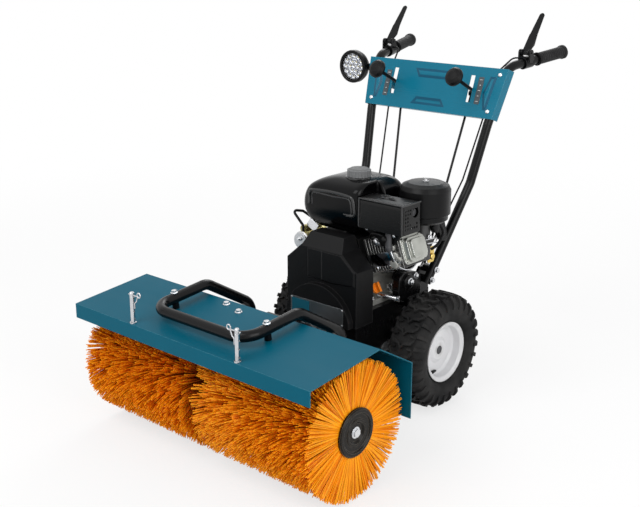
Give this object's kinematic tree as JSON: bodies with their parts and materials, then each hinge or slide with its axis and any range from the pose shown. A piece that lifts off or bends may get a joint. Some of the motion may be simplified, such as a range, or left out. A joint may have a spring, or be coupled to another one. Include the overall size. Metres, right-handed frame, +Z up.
{
  "type": "power brush sweeper",
  "caption": "Walk-behind petrol sweeper with a wide swivelling brush under a folded hood, an engine on a two-wheeled frame, and a handlebar panel with control levers.",
  "frame": {"origin": "on the ground, under the middle of the overall box", "axes": "+Y points back to the operator, +Z is up, +X is to the right as seen from the front"},
  "size_m": [0.832, 1.262, 1.0651],
  "materials": {
    "teal_sheet": "satin powder coat on folded sheet",
    "black_paint": "semi-gloss black powder coat",
    "black_plastic": "fine-grained moulded plastic",
    "tank_plastic": "smooth black paint on the tank",
    "bristle": "orange polypropylene bristles",
    "zinc": "bright zinc plate",
    "steel": "machined steel",
    "casting": "die-cast aluminium",
    "gear_iron": "painted iron casting",
    "starter_metal": "yellow-passivated steel",
    "rim_paint": "white enamel",
    "tyre": "moulded rubber tread",
    "rubber": "black rubber",
    "lens": "clear lens over lamp cells",
    "grey_cap": "moulded cap",
    "orange_cap": "moulded orange plastic"
  },
  "bodies": {
    "chassis": {"frame_housing": "black_paint", "bottom_cover": "black_paint", "bearings": "steel", "belt_cover": "black_plastic", "engine_block": "casting", "cylinder": "casting", "valve_cover": "casting", "exhaust_muffler": "steel", "muffler_guard": "black_paint", "fuel_tank": "tank_plastic", "air_cleaner": "black_plastic", "carburettor": "casting", "recoil_housing": "black_plastic", "starter_motor": "starter_metal", "left_handle": "black_paint", "right_handle": "black_paint", "control_panel": "teal_sheet", "hand_grips": "rubber", "handle_brackets": "black_paint", "chassis_bolts": "zinc", "brush_belt": "rubber", "drive_belt": "rubber", "cables": "black_plastic"},
    "brush_head": {"brush_hood": "teal_sheet", "bumper_tube": "black_paint", "gearbox": "gear_iron", "head_bracket": "black_paint", "accessory_posts": "zinc", "head_bolts": "zinc"},
    "left_clip": {"left_clip": "zinc"},
    "right_clip": {"right_clip": "zinc"},
    "worm_shaft": {"worm_shaft": "steel"},
    "brush": {"brush_shaft": "steel", "left_brush": "bristle", "right_brush": "bristle", "brush_caps": "black_plastic", "cap_bolts": "zinc"},
    "brush_pulley": {"brush_pulley": "steel"},
    "crank_pulley": {"crank_pulley": "steel"},
    "friction_disc": {"friction_disc": "steel"},
    "hex_shaft": {"hex_shaft": "steel"},
    "friction_wheel": {"friction_wheel": "rubber"},
    "axle": {"drive_axle": "steel", "left_rim": "rim_paint", "right_rim": "rim_paint", "left_tyre": "tyre", "right_tyre": "tyre"},
    "traction_lever": {"traction_lever": "black_paint"},
    "brush_lever": {"brush_lever": "black_paint"},
    "gear_lever": {"gear_lever": "black_paint"},
    "lock_lever": {"lock_lever": "black_paint"},
    "gear_rod": {"gear_rod": "black_paint"},
    "lock_rod": {"lock_rod": "black_paint"},
    "swivel_lock": {"swivel_lock": "black_paint"},
    "brush_idler": {"brush_idler": "steel"},
    "drive_idler": {"drive_idler": "steel"},
    "headlight": {"headlight": "black_plastic", "headlight_lens": "lens"},
    "fuel_cap": {"fuel_cap": "grey_cap"},
    "oil_dipstick": {"oil_dipstick": "orange_cap"}
  },
  "joints": [
    {"name": "brush_swivel", "type": "hinge", "parent": "chassis", "child": "brush_head", "pos_m": [0, -0.20202, 0.184], "axis": [0, 0, 1], "range_deg": [-15, 15]},
    {"name": "brush_spin", "type": "hinge", "parent": "brush_head", "child": "brush", "pos_m": [0, -0.45202, 0.175], "axis": [1, 0, 0], "continuous": true},
    {"name": "worm_spin", "type": "hinge", "parent": "brush_head", "child": "worm_shaft", "pos_m": [0, -0.45202, 0.25], "axis": [0, 1, 0], "continuous": true},
    {"name": "pulley_spin", "type": "hinge", "parent": "chassis", "child": "brush_pulley", "pos_m": [0, -0.10002, 0.25], "axis": [0, 1, 0], "continuous": true},
    {"name": "crank_spin", "type": "hinge", "parent": "chassis", "child": "crank_pulley", "pos_m": [0, -0.10002, 0.406], "axis": [0, 1, 0], "continuous": true},
    {"name": "disc_spin", "type": "hinge", "parent": "chassis", "child": "friction_disc", "pos_m": [0, -0.07102, 0.165], "axis": [0, 1, 0], "continuous": true},
    {"name": "axle_spin", "type": "hinge", "parent": "chassis", "child": "axle", "pos_m": [0, 0.10928, 0.165], "axis": [1, 0, 0], "continuous": true},
    {"name": "hex_spin", "type": "hinge", "parent": "chassis", "child": "hex_shaft", "pos_m": [0, 0.01328, 0.165], "axis": [1, 0, 0], "continuous": true},
    {"name": "gear_lever_tilt", "type": "hinge", "parent": "chassis", "child": "gear_lever", "pos_m": [0.136, 0.42536, 0.82855], "axis": [1, 0, 0], "range_deg": [-15, 15]},
    {"name": "wheel_shift", "type": "slide", "parent": "hex_shaft", "child": "friction_wheel", "axis": [1, 0, 0], "range_m": [-0.0502, 0.0502]},
    {"name": "gear_rod_slide", "type": "slide", "parent": "chassis", "child": "gear_rod", "axis": [0, 0.4015, 0.9158], "range_m": [-0.006, 0.006]},
    {"name": "lock_lever_tilt", "type": "hinge", "parent": "chassis", "child": "lock_lever", "pos_m": [-0.136, 0.42536, 0.82855], "axis": [-1, 0, 0], "range_deg": [0, 20], "stiffness_Nm_per_rad": 6, "springref_deg": -14.32},
    {"name": "lock_rod_slide", "type": "slide", "parent": "chassis", "child": "lock_rod", "axis": [-0.1411, 0.3094, 0.9404], "range_m": [-0.0005, 0.017]},
    {"name": "lock_slide", "type": "slide", "parent": "chassis", "child": "swivel_lock", "axis": [0, 1, 0], "range_m": [-0.0001, 0.0051]},
    {"name": "traction_squeeze", "type": "hinge", "parent": "chassis", "child": "traction_lever", "pos_m": [0.24409, 0.47297, 0.96017], "axis": [-1, 0, 0], "range_deg": [0, 35], "stiffness_Nm_per_rad": 1.2, "springref_deg": -11.46},
    {"name": "brush_squeeze", "type": "hinge", "parent": "chassis", "child": "brush_lever", "pos_m": [-0.24409, 0.47297, 0.96017], "axis": [-1, 0, 0], "range_deg": [0, 35], "stiffness_Nm_per_rad": 1.2, "springref_deg": -11.46},
    {"name": "drive_idler_swing", "type": "hinge", "parent": "chassis", "child": "drive_idler", "pos_m": [0.07694, -0.07102, 0.286], "axis": [0, -1, 0], "range_deg": [-0.1, 10.6]},
    {"name": "brush_idler_swing", "type": "hinge", "parent": "chassis", "child": "brush_idler", "pos_m": [-0.10079, -0.10002, 0.286], "axis": [0, 1, 0], "range_deg": [-0.1, 9.1]},
    {"name": "headlight_tilt", "type": "hinge", "parent": "chassis", "child": "headlight", "pos_m": [-0.257, 0.40275, 0.88596], "axis": [1, 0, 0], "range_deg": [-20, 20]},
    {"name": "fuel_cap_turn", "type": "hinge", "parent": "chassis", "child": "fuel_cap", "pos_m": [0.006, 0.02698, 0.65], "axis": [0, 0, 1], "range_deg": [0, 90]},
    {"name": "dipstick_turn", "type": "hinge", "parent": "chassis", "child": "oil_dipstick", "pos_m": [0.09179, -0.00202, 0.34238], "axis": [0.8762, 0, 0.4819], "range_deg": [0, 180]},
    {"name": "left_clip_pull", "type": "slide", "parent": "brush_head", "child": "left_clip", "axis": [1, 0, 0], "range_m": [0, 0.04]},
    {"name": "right_clip_pull", "type": "slide", "parent": "brush_head", "child": "right_clip", "axis": [-1, 0, 0], "range_m": [0, 0.04]}
  ],
  "couplings": [
    {"joint": "worm_spin", "follows": "brush_spin", "ratio": 28},
    {"joint": "pulley_spin", "follows": "brush_spin", "ratio": 28},
    {"joint": "hex_spin", "follows": "axle_spin", "ratio": -3.5714},
    {"joint": "wheel_shift", "follows": "gear_lever_tilt", "m_per_rad": 0.19099},
    {"joint": "gear_rod_slide", "follows": "gear_lever_tilt", "m_per_rad": -0.021978},
    {"joint": "lock_rod_slide", "follows": "lock_lever_tilt", "m_per_rad": 0.047054},
    {"joint": "lock_slide", "follows": "lock_lever_tilt", "m_per_rad": 0.014324},
    {"joint": "drive_idler_swing", "follows": "traction_squeeze", "ratio": 0.3},
    {"joint": "brush_idler_swing", "follows": "brush_squeeze", "ratio": 0.257}
  ]
}
